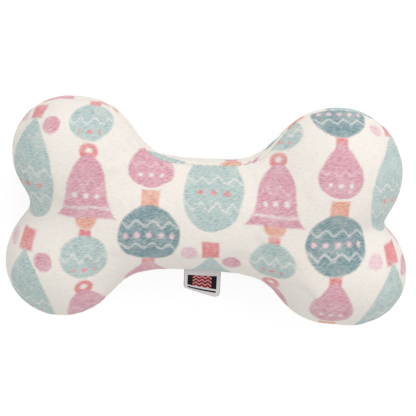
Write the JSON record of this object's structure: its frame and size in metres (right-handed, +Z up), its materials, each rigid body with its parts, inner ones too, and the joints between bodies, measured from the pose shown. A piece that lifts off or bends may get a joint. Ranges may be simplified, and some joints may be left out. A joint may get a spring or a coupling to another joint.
{
  "type": "squeaky dog toy",
  "caption": "Bone-shaped stuffed fleece dog toy of two sewn panels, with a folded side label and a reed squeaker inside.",
  "frame": {"origin": "middle of the bounding box at the bottom, on the surface that the toy lies on", "axes": "+X along the bone, +Y across it to the hand-closed edge, +Z up from the back panel to the front panel"},
  "size_m": [0.2284, 0.1272, 0.0641],
  "materials": {
    "fleece": "printed short-pile fleece",
    "thread": "spun polyester thread",
    "woven_label": "woven ribbon",
    "fibrefill": "loose polyester fibre",
    "bulb_plastic": "soft translucent polyethylene",
    "whistle_plastic": "moulded hard plastic",
    "reed_film": "clear film"
  },
  "bodies": {
    "toy_body": {"front_panel": "fleece", "back_panel": "fleece", "seam_thread": "thread", "closing_thread": "thread", "label_tail": "woven_label", "upper_left_fill": "fibrefill", "lower_left_fill": "fibrefill", "upper_right_fill": "fibrefill", "lower_right_fill": "fibrefill", "shank_front_fill": "fibrefill", "shank_back_fill": "fibrefill", "squeaker_bellows": "bulb_plastic", "squeaker_base": "bulb_plastic", "whistle_body": "whistle_plastic", "reed_seat": "whistle_plastic", "reed_wedge": "whistle_plastic"},
    "squeaker_top": {"squeaker_crown": "bulb_plastic"},
    "reed_tongue": {"reed": "reed_film"},
    "side_label": {"label_flap": "woven_label"}
  },
  "joints": [
    {"name": "squeeze", "type": "slide", "parent": "toy_body", "child": "squeaker_top", "axis": [0, 0, -1], "range_m": [0, 0.008], "stiffness_N_per_m": 150, "deforming": ["squeaker_bellows"]},
    {"name": "reed_flutter", "type": "hinge", "parent": "toy_body", "child": "reed_tongue", "pos_m": [-0.00143, -0.00064, 0.012], "axis": [-1, 0, 0], "range_deg": [0, 4]},
    {"name": "label_bend", "type": "hinge", "parent": "toy_body", "child": "side_label", "pos_m": [-0.00193, -0.03427, 0.0315], "axis": [1, 0, 0], "range_deg": [-70, 40], "stiffness_Nm_per_rad": 0.0006}
  ],
  "couplings": [
    {"joint": "reed_flutter", "follows": "squeeze", "rad_per_m": 8.7}
  ]
}
